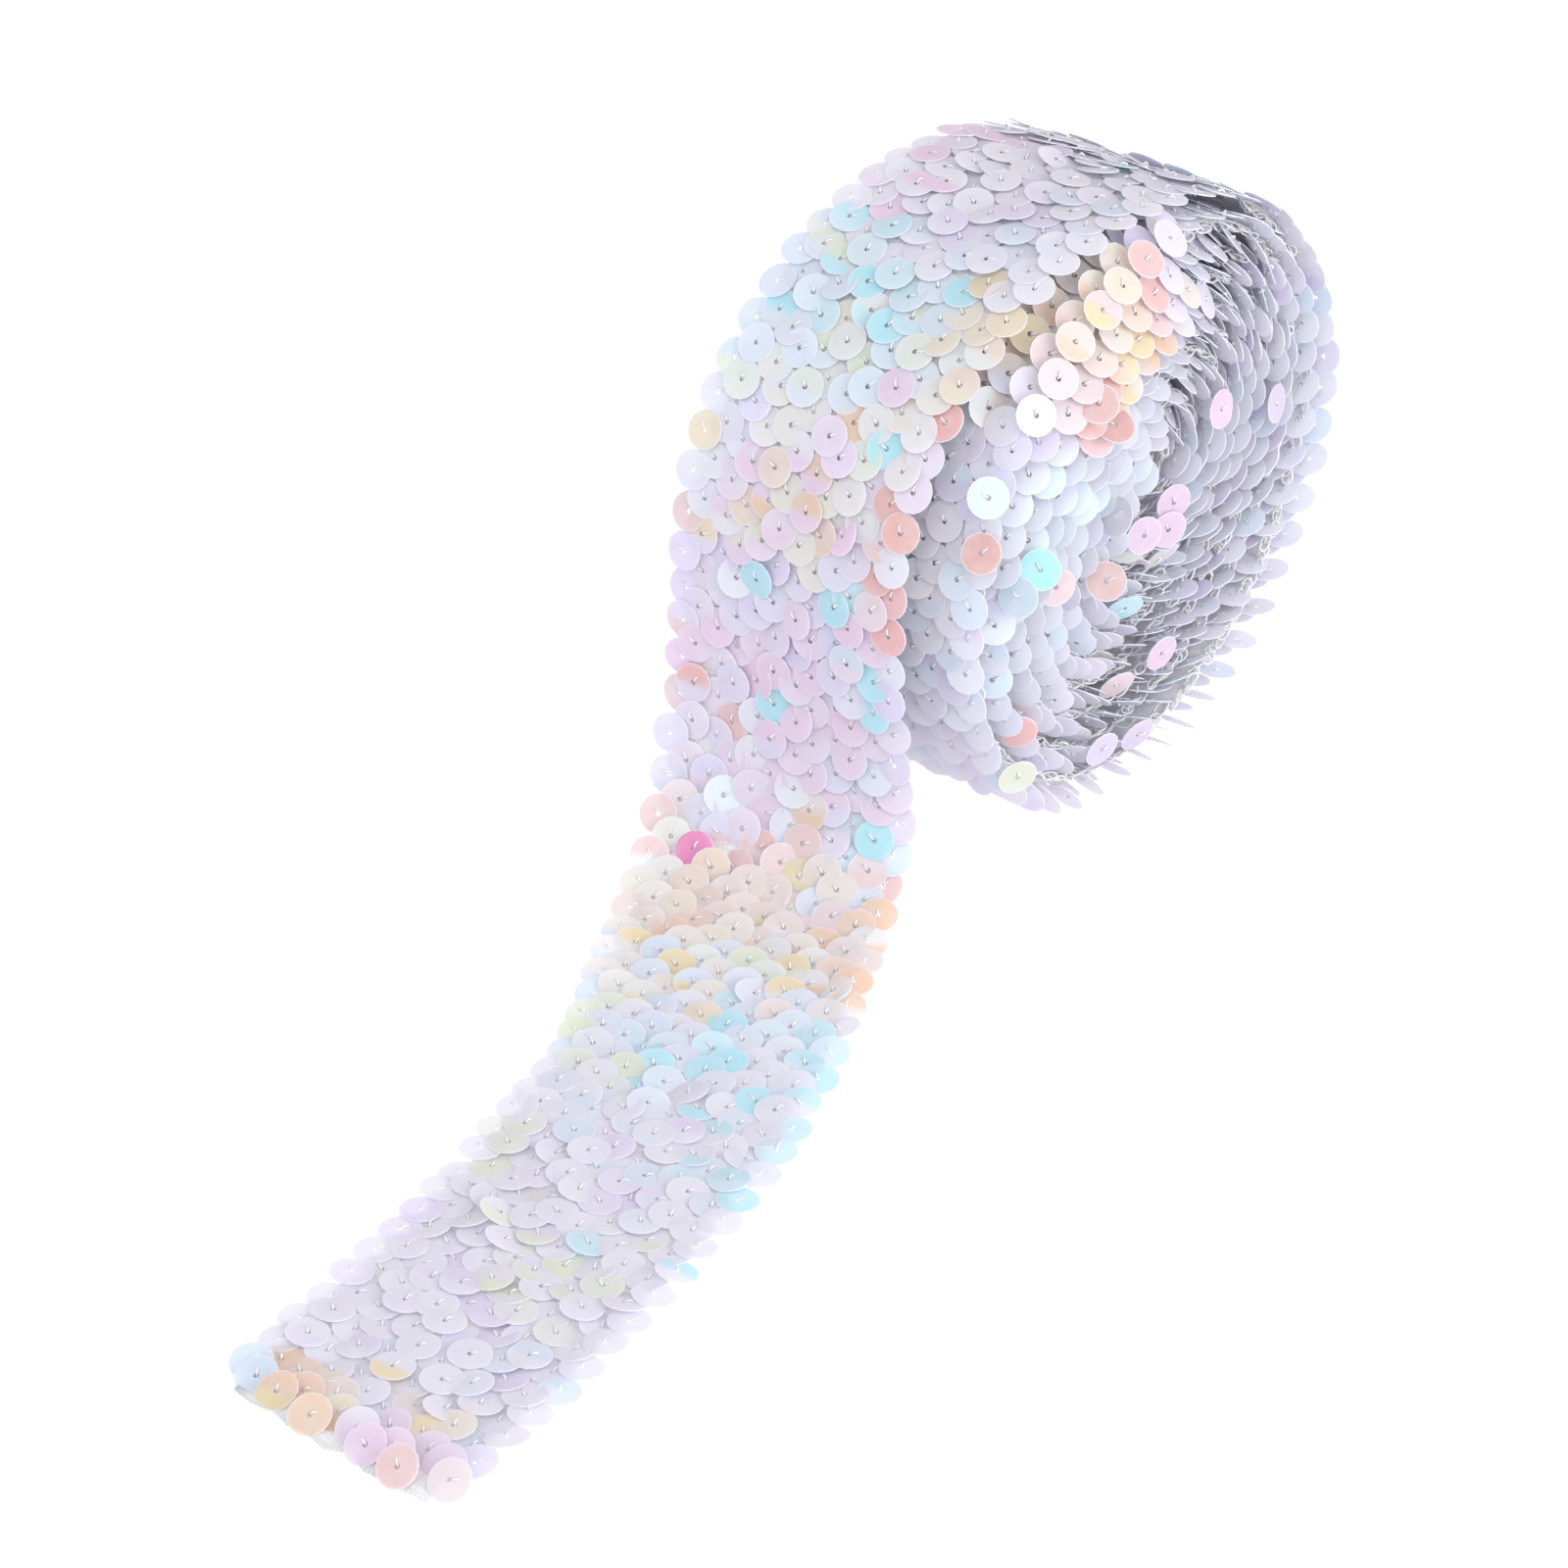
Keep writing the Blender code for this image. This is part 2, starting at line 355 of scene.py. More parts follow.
clothLook = {
    "roughness": 0.7,
    "sheen": 0.15,
    # painted shade: the darker grey that the knit's low places take
    "low": (0.86, 0.86, 0.88, 1),
    "high": (0.96, 0.96, 0.97, 1),
    "courses": 380.0,
    "courseBend": 2.0,
    "wales": 420.0,
    "waleBend": 1.0,
    "strength": 0.4,
    "depth": 0.0002,
    "lightThrough": 0.40,
}


def groundCloth():  # fine white knit, its courses and wales on the cloth's own map in metres
    material, tree, shader = newMaterial("groundCloth", {
        "Roughness": clothLook["roughness"],
        "Sheen Weight": clothLook["sheen"],
    })
    place = addNode(tree, "ShaderNodeUVMap", uv_map="clothMap").outputs["UV"]
    courses = addNode(tree, "ShaderNodeTexWave", {
        "Vector": place, "Scale": clothLook["courses"], "Distortion": clothLook["courseBend"],
    }, bands_direction="Y").outputs["Fac"]
    wales = addNode(tree, "ShaderNodeTexWave", {
        "Vector": place, "Scale": clothLook["wales"], "Distortion": clothLook["waleBend"],
    }, bands_direction="X").outputs["Fac"]
    height = addNode(tree, "ShaderNodeMath", {0: courses, 1: wales}, operation="MULTIPLY").outputs["Value"]
    # painted shade: the colour darkens towards the low places of the knit
    colour = mixedColour(tree, height, clothLook["low"], clothLook["high"])
    tree.links.new(colour, shader.inputs["Base Color"])
    addRelief(tree, shader, height, clothLook["strength"], clothLook["depth"])
    letLightThrough(tree, shader, colour, clothLook["lightThrough"])
    return material


pearl = pearlFilm()
thread = clearThread()
knitCloth = groundCloth()
print("materials made")


# Joined meshes of many copies of one small pattern piece


def meshObject(name, bm, material):
    mesh = bpy.data.meshes.new(name)
    bm.to_mesh(mesh)
    bm.free()
    mesh.materials.append(material)
    obj = bpy.data.objects.new(name, mesh)
    bpy.context.scene.collection.objects.link(obj)
    return obj


def copyTree(pattern):  # geometry nodes that put a copy of the pattern on each point, turned and sized
    tree = bpy.data.node_groups.new("copies_of_" + pattern.name, "GeometryNodeTree")
    tree.interface.new_socket("Geometry", in_out="INPUT", socket_type="NodeSocketGeometry")
    tree.interface.new_socket("Geometry", in_out="OUTPUT", socket_type="NodeSocketGeometry")
    points = tree.nodes.new("NodeGroupInput")
    result = tree.nodes.new("NodeGroupOutput")
    source = addNode(tree, "GeometryNodeObjectInfo", {"Object": pattern})
    turn = addNode(tree, "GeometryNodeInputNamedAttribute", {"Name": "turn"}, data_type="FLOAT_VECTOR")
    size = addNode(tree, "GeometryNodeInputNamedAttribute", {"Name": "size"}, data_type="FLOAT_VECTOR")
    copies = addNode(tree, "GeometryNodeInstanceOnPoints", {
        "Points": points.outputs[0],
        "Instance": source.outputs["Geometry"],
        "Rotation": turn.outputs["Attribute"],
        "Scale": size.outputs["Attribute"],
    })
    realised = addNode(tree, "GeometryNodeRealizeInstances", {"Geometry": copies.outputs["Instances"]})
    tree.links.new(realised.outputs["Geometry"], result.inputs[0])
    return tree


def giveAttribute(mesh, name, kind, key, values):
    made = mesh.attributes.new(name, kind, "POINT")
    made.data.foreach_set(key, np.asarray(values, np.float32).ravel())


def scatter(name, pattern, places, turns, sizes, tints=None, neighbourReflectionTints=None):
    points = bpy.data.meshes.new(name + "_points")
    points.from_pydata([tuple(place) for place in places], [], [])
    giveAttribute(points, "turn", "FLOAT_VECTOR", "vector", turns)
    giveAttribute(points, "size", "FLOAT_VECTOR", "vector", sizes)
    if tints is not None:
        giveAttribute(points, "tint", "FLOAT_COLOR", "color", tints)
        giveAttribute(points, "neighbourReflectionTint", "FLOAT_COLOR", "color", neighbourReflectionTints)
    holder = bpy.data.objects.new(name + "_holder", points)
    bpy.context.scene.collection.objects.link(holder)
    holder.modifiers.new("copies", "NODES").node_group = copyTree(pattern)
    graph = bpy.context.evaluated_depsgraph_get()
    copied = holder.evaluated_get(graph)
    mesh = bpy.data.meshes.new_from_object(copied, preserve_all_data_layers=True, depsgraph=graph)
    mesh.name = name
    for spare in ("turn", "size"):
        if spare in mesh.attributes:
            mesh.attributes.remove(mesh.attributes[spare])
    obj = bpy.data.objects.new(name, mesh)
    bpy.context.scene.collection.objects.link(obj)
    bpy.data.objects.remove(holder)
    print(name, len(places), "copies,", len(mesh.polygons), "faces")
    return obj


def unit(vectors):
    return vectors / np.linalg.norm(vectors, axis=1)[:, None]


def turnsOf(forwards, normals):  # turns that take the pattern's Y and Z to these directions
    normals = unit(normals)
    forwards = unit(forwards - normals * np.sum(forwards * normals, axis=1)[:, None])
    threeAxes = zip(np.cross(forwards, normals), forwards, normals)
    return [Matrix(axes).transposed().to_euler("XYZ")[:] for axes in threeAxes]


# Sequins

sequin = {  # metres and degrees
    "diameter": 0.0060,
    "hole": 0.0008,
    "thickness": 0.00015,
    "corners": 16,
    "buriedCorners": 9,
    "spacing": 0.0028,  # along a chain
    "edgeSpacing": 0.0023,  # at the near face, where the turns press them closer
    "chains": (-0.0168, -0.0100, -0.0034, 0.0034, 0.0100, 0.0168),
    "zigzag": 0.0014,
    "zigzagSpread": 0.0003,
    "stitchSpread": 0.0004,
    "lift": 0.00080,
    "liftSpread": (0.6, 1.5),  # of that lift, where they aren't pressed
    "shutTip": 4.0,  # degrees that the free side stands up where the sequins lie shut
    "openTip": 40.0,  # and how much more where they hang open
    "tipSpread": 2.8,
    "leanSpread": 4.5,
    "floorGap": 0.0001,
    "cutSkew": 0.0020,  # the trim was cut a little askew
    "firstPlace": 0.001,
    "tail": 0.0003,  # the last row stops this far before the cut
    "palest": 0.75,  # how far a tint may fade towards white
    "neighbourReflectionChance": 0.35,  # chance of a second tint on the free side, a painted shadow and reflection of the neighbouring sequin
    "unrulyChance": 0.05,
    "unrulyTip": (4, 16),
    "unrulyLean": (-18, 18),
}

betweenTurns = {  # how the sequins stand that are pressed between two turns, rows as a share of the way out
    "middleRows": 0.5,
    "outerRows": 0.9,
    "tip": 28.0,
    "tipLeast": 0.60,
    "faceLean": (8, 32),  # the outer rows lean out of the face
    "faceLift": (0.0006, 0.0024),
    "swungChance": 0.045,
    "swungLean": (30, 60),
    "swungShift": 0.0012,
    "deepTip": (42, 62),  # the middle rows stand up and fill the gap
    "deepLean": (-25, 25),
    "deepLift": 0.0015,
}

laidEnd = {  # metres back from the cut end, and degrees; where it bends on to the floor they tip forwards
    "tips": ((0.0, -1.0), (0.060, -1.0), (0.085, -8.0), (0.105, -18.0), (0.142, -16.0), (0.158, 0.0)),
    "drawnFrom": 0.085,
    "drawnTo": 0.145,
    "drawnIn": 0.0006,
    "droopFrom": 0.011,  # the last sequins hang over the cut
    "droop": 42.0,
}

outerTurnStand = {  # degrees from +Y up towards +Z, and how the outer turn's sequins stand there
    "liftMore": (
        (0, 0.0012), (20, 0.0003), (45, -0.0003), (70, 0.0004), (90, 0.0011), (130, 0.0010), (170, 0.0009),
        (205, 0.0014), (250, 0.0018), (290, 0.0014), (320, 0.0014), (345, 0.0014), (360, 0.0012),
    ),
    "open": (  # 0 over the top, where they lie shut, and 1 where they hang open
        (0, 0.85), (20, 0.40), (60, 0.10), (150, 0.0), (190, 0.30),
        (230, 0.85), (290, 1.0), (315, 1.0), (345, 1.0), (360, 0.85),
    ),
}

# The pearl's pale tints, and the film's iridescent colours painted fixed into the base colour as painted
# reflection
pearlAndSheenColours = {
    "lavender": (0.90, 0.86, 0.98),
    "mist": (0.93, 0.935, 0.97),
    "ice": (0.85, 0.93, 0.99),
    "cyan": (0.66, 0.95, 0.99),
    "green": (0.90, 0.95, 0.80),
    "cream": (0.96, 0.93, 0.84),
    "yellow": (0.97, 0.86, 0.56),
    "orange": (0.97, 0.78, 0.60),
    "coral": (0.96, 0.66, 0.61),
    "pink": (0.97, 0.82, 0.93),
    "hotPink": (0.97, 0.42, 0.68),
    "white": (0.95, 0.955, 0.985),
}

# Where the film's painted iridescent reflection turns warm or cool, in metres back from the cut end: far
# edge, middle, near edge
sheenZones = (
    (0.000, ("ice", "yellow", "orange"), ("orange", "pink", "yellow"), ("coral", "pink", "coral")),
    (0.009, ("cyan", "mist", "ice"), ("yellow", "mist", "ice"), ("ice", "lavender", "ice")),
    (0.016, ("mist", "mist", "lavender"), ("mist", "mist", "lavender", "green"), ("mist", "ice", "mist")),
    (0.060, ("mist", "green", "mist"), ("mist", "mist", "ice", "lavender"), ("ice", "mist", "cyan")),
    (0.080, ("ice", "green", "mist"), ("ice", "cyan", "ice", "mist"), ("cyan", "ice", "mist")),
    (0.110, ("yellow", "cream", "ice"), ("cream", "ice", "yellow", "green"), ("orange", "orange", "cream")),
    (0.125, ("orange", "yellow", "cream"), ("yellow", "orange", "cream", "orange"),
     ("orange", "coral", "orange")),
    (0.140, ("cream", "yellow", "coral"), ("pink", "coral", "orange", "pink"), ("ice", "coral", "coral")),
    (0.150, ("coral", "pink", "lavender"), ("pink", "lavender", "pink"), ("pink", "lavender", "ice")),
    (0.180, ("pink", "coral", "lavender"), ("lavender", "pink", "lavender"), ("ice", "cyan", "white")),
    (0.190, ("yellow", "lavender", "mist"), ("orange", "pink", "cream"), ("coral", "pink", "coral")),
    (0.210, ("green", "ice", "green"), ("green", "cream", "ice"), ("pink", "coral", "cream")),
    (0.225, ("cyan", "ice", "green"), ("cyan", "ice", "green"), ("yellow", "orange", "green")),
    (0.240, ("pink", "mist", "white"), ("mist", "lavender", "white"), ("mist", "white", "ice")),
)

# Single sequins with a painted glint, bright as if they mirror a lamp: metres back from the cut end, metres
# from the middle, and the colour
paintedGlints = (
    (0.006, -0.0150, "ice"),
    (0.096, 0.0060, "cyan"),
    (0.104, 0.0010, "cyan"),
    (0.144, -0.0100, "hotPink"),
    (0.149, 0.0168, "cyan"),
    (0.165, -0.0010, "cyan"),
    (0.171, 0.0150, "cyan"),
    (0.176, 0.0168, "cyan"),
    (0.184, 0.0168, "coral"),
    (0.188, 0.0100, "cyan"),
    (0.187, -0.0034, "cyan"),
    (0.191, 0.0168, "coral"),
    (0.196, 0.0168, "white"),
    (0.201, 0.0168, "coral"),
    (0.212, 0.0100, "cyan"),
    (0.219, 0.0168, "coral"),
    (0.228, 0.0034, "cyan"),
    (0.233, -0.0034, "cyan"),
    (0.236, 0.0100, "cyan"),
)

shoulder = {  # at the upper front the near edges of the turns under the last one fan out and face forward
    "firstTurn": 5.8,
    "angles": (90.0, 142.0),
    "lean": 45.0,
    "leastShare": 0.6,  # of that lean, away from the edge
    "shift": 0.0016,
    # angles up to which the fanned sequins' painted sheen stays pale, then turns yellow and orange, then
    # coral and pink
    "paleUntil": 101.0,
    "yellowUntil": 128.0,
}

pieceTints = {  # by where the sequin sits, where the bands of the loose end don't reach; pale pearl tints with painted sheen, and the stronger colours of the shoulder, swung and unruly sequins are painted iridescent reflection
    "outerTurn": ("mist", "lavender", "mist", "white", "ice"),
    "betweenTurns": ("mist", "ice", "white", "mist", "lavender", "white", "mist"),
    "swung": ("pink", "cyan", "coral", "white", "green", "lavender"),
    "unruly": ("cyan", "white"),
    "shoulderTop": ("cream", "mist", "lavender"),
    "shoulderMiddle": ("yellow", "orange", "yellow", "coral", "orange"),
    "shoulderLow": ("coral", "pink", "coral", "orange"),
}


def buriedPattern():  # the same disc with few corners and no hole, for the sequins deep between the turns
    bm = bmesh.new()
    radius = sequin["diameter"] / 2
    bmesh.ops.create_cone(bm, cap_ends=True, segments=sequin["buriedCorners"],
                          radius1=radius, radius2=radius, depth=sequin["thickness"])
    obj = meshObject("buriedPattern", bm, pearl)
    corners = len(obj.data.vertices)
    # rim is 1 at every corner, so these discs take the painted rim highlight's near white all over, which
    # lightens them deep between the turns
    giveAttribute(obj.data, "rim", "FLOAT", "value", [1.0] * corners)
    giveAttribute(obj.data, "fore", "FLOAT", "value", [0.0] * corners)
    return obj


def ringEdges(made):
    return list({edge for vert in made["verts"] for edge in vert.link_edges})


# A flat disc with its stitch hole. The attribute rim runs from the hole to the cut rim, and fore from the
# sewn side to the free side
def sequinPattern():
    bm = bmesh.new()
    outer = sequin["diameter"] / 2
    inner = sequin["hole"] / 2
    half = sequin["thickness"] / 2
    rings = []
    for radius, height in ((outer, half), (inner, half), (inner, -half), (outer, -half)):
        rings.append(ringEdges(bmesh.ops.create_circle(
            bm, segments=sequin["corners"], radius=radius, matrix=Matrix.Translation((0, 0, height)))))
    for index, ring in enumerate(rings):
        bmesh.ops.bridge_loops(bm, edges=ring + rings[(index + 1) % len(rings)])
    bmesh.ops.recalc_face_normals(bm, faces=bm.faces)
    obj = meshObject("sequinPattern", bm, pearl)
    places = [vert.co for vert in obj.data.vertices]
    rims = [float(place.xy.length > inner * 2) for place in places]
    giveAttribute(obj.data, "rim", "FLOAT", "value", rims)
    fores = [0.5 + place.y / sequin["diameter"] for place in places]
    giveAttribute(obj.data, "fore", "FLOAT", "value", fores)
    return obj


def pickColour(names, dice):
    colour = np.array(pearlAndSheenColours[dice.choice(names)])
    pale = np.array(pearlAndSheenColours["white"])
    return (*(colour + (pale - colour) * dice.uniform(0.0, sequin["palest"])), 1.0)


bandBlur = {"along": 0.005, "across": 0.004, "edgeFrom": 0.010}  # the bands run into each other by so much


def bandTints(fromEnd, chain, dice):
    reached = [zone for zone in sheenZones
               if zone[0] <= max(fromEnd + dice.uniform(-bandBlur["along"], bandBlur["along"]), 0.0)]
    sideways = chain + dice.uniform(-bandBlur["across"], bandBlur["across"])
    farEdge, middle, nearEdge = reached[-1][1:]
    if sideways < -bandBlur["edgeFrom"]:
        return farEdge
    return nearEdge if sideways > bandBlur["edgeFrom"] else middle


def sequinRows(chains, start, stop, dice, spacing=sequin["spacing"]):
    rows = []
    for number, chain in enumerate(chains):
        distance = start + spacing * (0.5 if number % 2 else 0.0)
        count = 0
        skew = sequin["cutSkew"] * chain / sequin["chains"][-1] if stop > woundLength else 0.0
        while distance < stop + skew:
            place = distance + dice.uniform(-sequin["stitchSpread"], sequin["stitchSpread"])
            zigzag = sequin["zigzag"] * (1 if (count + number) % 2 else -1)
            zigzag += dice.uniform(-sequin["zigzagSpread"], sequin["zigzagSpread"])
            rows.append((place, chain, zigzag))
            distance += spacing
            count += 1
    return rows


straySequins = {  # a few that have turned right round and look out of the near face
    "facing": (0.53, -0.67, 0.52),
    "hanging": (0.3, -0.3, -0.9),
    # painted shade: the strays face the front softbox, so their painted sheen colours are darkened by this
    # to keep them from washing out white
    "dimmed": 0.92,
    # Millimetres from the axis, degrees round it, millimetres out, colour, degrees off facing, and towards
    "places": (
        (35.0, 170, 24.5, "cyan", 5, 0),
        (39.0, 175, 24.0, "ice", 25, 200),
        (15.5, 200, 22.0, "coral", 8, 90),
        (14.0, 160, 22.5, "white", 45, 170),
        (4.5, 225, 20.5, "pink", 40, 320),
        (6.5, 305, 20.0, "pink", 42, 310),
        (5.0, 345, 20.0, "pink", 45, 320),
        (18.0, 35, 21.0, "pink", 55, 345),
        (33.5, 5, 18.5, "lavender", 62, 350),
        (30.0, 285, 17.0, "pink", 58, 320),
        (38.0, 255, 19.0, "lavender", 58, 315),
        (39.0, 270, 18.5, "lavender", 62, 310),
        (45.0, 220, 21.5, "green", 48, 300),
        (37.0, 130, 26.0, "coral", 15, 90),
        (30.5, 130, 26.0, "coral", 30, 60),
        (47.5, 155, 21.5, "white", 6, 180),
        (46.0, 165, 21.5, "coral", 20, 180),
    ),
}


def sequinPose(distance, chain, packed, dice):  # tip, lean, lift, sideways shift and the tints to draw from
    tip = dice.gauss(sequin["shutTip"], sequin["tipSpread"])
    lean = dice.gauss(0, sequin["leanSpread"])
    lift = sequin["lift"] * (1 if packed else dice.uniform(*sequin["liftSpread"]))
    shift = 0.0
    edge = chain / sequin["chains"][-1]
    fromEnd = trimLength - distance
    names = bandTints(fromEnd, chain, dice)
    turns, angle = turnAt(distance)
    wound = distance < woundLength
    if not packed:
        tip += readTable(fromEnd, laidEnd["tips"])
        lift += readTable(angle, outerTurnStand["liftMore"]) if wound else 0.0
        if laidEnd["drawnFrom"] < fromEnd < laidEnd["drawnTo"]:
            shift = -laidEnd["drawnIn"] * edge
    if fromEnd < laidEnd["droopFrom"]:
        tip -= laidEnd["droop"] * (1 - fromEnd / laidEnd["droopFrom"])
    if wound:
        opening = readTable(angle, outerTurnStand["open"])
        pressedTip = betweenTurns["tip"] * max(opening, betweenTurns["tipLeast"])
        tip += pressedTip if packed else sequin["openTip"] * opening
        names = pieceTints["outerTurn"]
    fanned = wound and edge > betweenTurns["middleRows"] and turns > shoulder["firstTurn"]
    if fanned and shoulder["angles"][0] < angle < shoulder["angles"][1]:
        lean += shoulder["lean"] * (shoulder["leastShare"] + (1 - shoulder["leastShare"]) * edge)
        shift = shoulder["shift"] * edge
        names = pieceTints["shoulderMiddle" if angle < shoulder["yellowUntil"] else "shoulderLow"]
        if angle < shoulder["paleUntil"]:
            names = pieceTints["shoulderTop"]
    elif packed:
        names = pieceTints["betweenTurns"]
        if abs(edge) > betweenTurns["outerRows"] and dice.random() < betweenTurns["swungChance"]:
            lean += dice.uniform(*betweenTurns["swungLean"]) * edge
            shift = betweenTurns["swungShift"] * edge
            names = pieceTints["swung"]
        elif abs(edge) < betweenTurns["middleRows"]:
            tip = dice.uniform(*betweenTurns["deepTip"])
            lift = betweenTurns["deepLift"]
            lean += dice.uniform(*betweenTurns["deepLean"])
        else:
            lean += dice.uniform(*betweenTurns["faceLean"]) * edge
            lift = dice.uniform(*betweenTurns["faceLift"])
    elif dice.random() < sequin["unrulyChance"]:
        tip += dice.uniform(*sequin["unrulyTip"])
        lean += dice.uniform(*sequin["unrulyLean"])
        names = names + pieceTints["unruly"]
    return tip, lean, lift, shift, names


def strayPoses():
    facing = Vector(straySequins["facing"]).normalized()
    sideways = Vector((0, 0, 1)).cross(facing).normalized()
    upward = facing.cross(sideways)
    poses = []
    for radius, angle, out, colour, turned, towards in straySequins["places"]:
        angle, turned, towards = math.radians(angle), math.radians(turned), math.radians(towards)
        offset = Vector((out, radius * math.cos(angle), radius * math.sin(angle))) / 1000
        place = np.array(rollFoot + offset + Vector((0, 0, axisHeight)))
        away = sideways * math.cos(towards) + upward * math.sin(towards)
        poses.append((place, tuple(facing * math.cos(turned) + away * math.sin(turned)), colour))
    return poses


def paintedReflectionTints(poses, tints, dice):  # some sequins get a second tint on their free side, a painted shadow and reflection of the neighbouring sequin
    return [pickColour(pose[4], dice) if dice.random() < sequin["neighbourReflectionChance"] else tint
            for pose, tint in zip(poses, tints)]


def laySequins(name, pattern, rows, packed, dice, strays=()):
    poses = [sequinPose(distance, chain, packed, dice) for distance, chain, _ in rows]
    distances = [row[0] for row in rows]
    sideways = [row[1] + row[2] + pose[3] for row, pose in zip(rows, poses)]
    places, across, along, up = placesOn(distances, sideways, [pose[2] for pose in poses])
    tips = np.tan(np.radians([pose[0] for pose in poses]))[:, None]
    leans = np.tan(np.radians([pose[1] for pose in poses]))[:, None]
    normals = unit(up - along * tips + across * leans)
    reach = sequin["diameter"] / 2 * np.sqrt(np.clip(1 - normals[:, 2] ** 2, 0, 1)) + sequin["floorGap"]
    places[:, 2] = np.maximum(places[:, 2], reach)  # nothing sinks into the floor
    turns = turnsOf(along, normals)
    tints = [pickColour(pose[4], dice) for pose in poses]
    neighbourReflectionTints = paintedReflectionTints(poses, tints, dice)
    # painted glints: these sequins take one bright colour all over
    for fromEnd, side, colour in () if packed else paintedGlints:
        gaps = [math.hypot(trimLength - fromEnd - d, side - s) for d, s in zip(distances, sideways)]
        number = gaps.index(min(gaps))
        tints[number] = neighbourReflectionTints[number] = (*pearlAndSheenColours[colour], 1.0)
    for number, (place, normal, colour) in enumerate(strays):
        places[number] = place
        turns[number] = turnsOf(np.array([straySequins["hanging"]]), np.array([normal]))[0]
        tint = (*(straySequins["dimmed"] * np.array(pearlAndSheenColours[colour])), 1.0)
        tints[number] = neighbourReflectionTints[number] = tint
    obj = scatter(name, pattern, places, turns, np.ones((len(rows), 3)), tints, neighbourReflectionTints)
    return obj, places, turns


sequinShape = sequinPattern()
outerStart = distanceAtTurn(woundTurns - roll["outerTurns"])
innerTurns = (sequin["firstPlace"], outerStart)
wallDice = random.Random(7)
wallRows = sequinRows(sequin["chains"], outerStart, trimLength - sequin["tail"], wallDice)
outerSequins, outerPlaces, outerTurns = laySequins(
    "outer_turn_sequins", sequinShape, wallRows, False, wallDice)
nearDice = random.Random(11)
nearRows = sequinRows(sequin["chains"][-2:], *innerTurns, nearDice, sequin["edgeSpacing"])
nearSequins, nearPlaces, nearTurns = laySequins(
    "near_face_sequins", sequinShape, nearRows, True, nearDice, strayPoses())
farDice = random.Random(12)
farRows = sequinRows(sequin["chains"][:2], *innerTurns, farDice)
farSequins, _, _ = laySequins("far_face_sequins", sequinShape, farRows, True, farDice)
buriedDice = random.Random(13)
buriedShape = buriedPattern()
buriedRows = sequinRows(sequin["chains"][2:4], *innerTurns, buriedDice)
buriedSequins, _, _ = laySequins("buried_sequins", buriedShape, buriedRows, True, buriedDice)


# Threads

stitch = {
    "length": 0.0015,
    "radius": 0.00014,
    "bead": (0.8, 1.3),  # the twist makes it thin and thick by turns
    "sunk": 0.0004,
    "rise": 0.00026,
    "rings": 8,
    "sides": 5,
    "swing": 70,
    "sizes": ((0.9, 1.3), (0.7, 1.1), (0.9, 1.4)),
}

backLoop = {
    "length": 0.0013,
    "width": 0.0006,
    "radius": 0.00014,
    "segments": 8,
    "sides": 4,
    "spacing": 0.0012,
    "fromMiddle": 0.0172,
    "wander": 0.0006,
    "depth": -0.0006,
    "depthSpread": (-0.0004, 0.0003),
    "sidle": 1.2,
    "pitch": 0.5,
    "sizes": ((0.8, 1.4), (0.8, 1.3), (0.8, 1.3)),
}


def stitchPattern():  # the clear thread from the hole back under the next sequin, beaded by its twist
    bm = bmesh.new()
    rings = []
    for ring in range(stitch["rings"]):
        share = ring / (stitch["rings"] - 1)
        height = (stitch["sunk"] + stitch["rise"]) * math.sin(math.pi * share) ** 0.5 - stitch["sunk"]
        radius = stitch["radius"] * stitch["bead"][ring % 2]
        middle = Matrix.Translation((0, -stitch["length"] * share, height))
        rings.append(ringEdges(bmesh.ops.create_circle(
            bm, segments=stitch["sides"], radius=radius, cap_ends=ring in (0, stitch["rings"] - 1),
            matrix=middle @ Matrix.Rotation(math.pi / 2, 4, "X"))))
    for first, second in zip(rings, rings[1:]):
        bmesh.ops.bridge_loops(bm, edges=first + second)
    return smoothPattern("stitchPattern", bm)


def backLoopPattern():  # one link of the chain of thread behind the cloth
    bm = bmesh.new()
    section = Matrix.Translation((backLoop["width"], 0, 0)) @ Matrix.Rotation(math.pi / 2, 4, "X")
    bmesh.ops.create_circle(bm, segments=backLoop["sides"], radius=backLoop["radius"], matrix=section)
    bmesh.ops.spin(bm, geom=bm.verts[:] + bm.edges[:], cent=(0, 0, 0), axis=(0, 0, 1), angle=math.tau,
                   steps=backLoop["segments"], use_merge=True)
    bmesh.ops.scale(bm, vec=(1, backLoop["length"] / backLoop["width"], 1), verts=bm.verts)
    return smoothPattern("backLoopPattern", bm)


def smoothPattern(name, bm):
    bmesh.ops.recalc_face_normals(bm, faces=bm.faces)
    for face in bm.faces:
        face.smooth = True
    return meshObject(name, bm, thread)


def drawSize(ranges, dice):
    return [dice.uniform(least, most) for least, most in ranges]


def layStitches(name, places, turns, dice):
    swung = []
    sizes = []
    for turn in turns:
        swing = Matrix.Rotation(math.radians(dice.uniform(-stitch["swing"], stitch["swing"])), 3, "Z")
        swung.append((Euler(turn).to_matrix() @ swing).to_euler("XYZ")[:])
        sizes.append(drawSize(stitch["sizes"], dice))
    return scatter(name, stitchShape, places, swung, sizes)


def layBackLoops(name, distances, sideways, heights, dice):
    places, across, along, up = placesOn(distances, sideways, heights)
    sidle = np.array([dice.uniform(-backLoop["sidle"], backLoop["sidle"]) for _ in distances])[:, None]
    pitch = np.array([dice.uniform(-backLoop["pitch"], backLoop["pitch"]) for _ in distances])[:, None]
    turns = turnsOf(along, up + across * sidle + along * pitch)
    sizes = [drawSize(backLoop["sizes"], dice) for _ in distances]
    places[:, 2] = np.maximum(places[:, 2], backLoop["length"])
    return scatter(name, backLoopShape, places, turns, sizes)


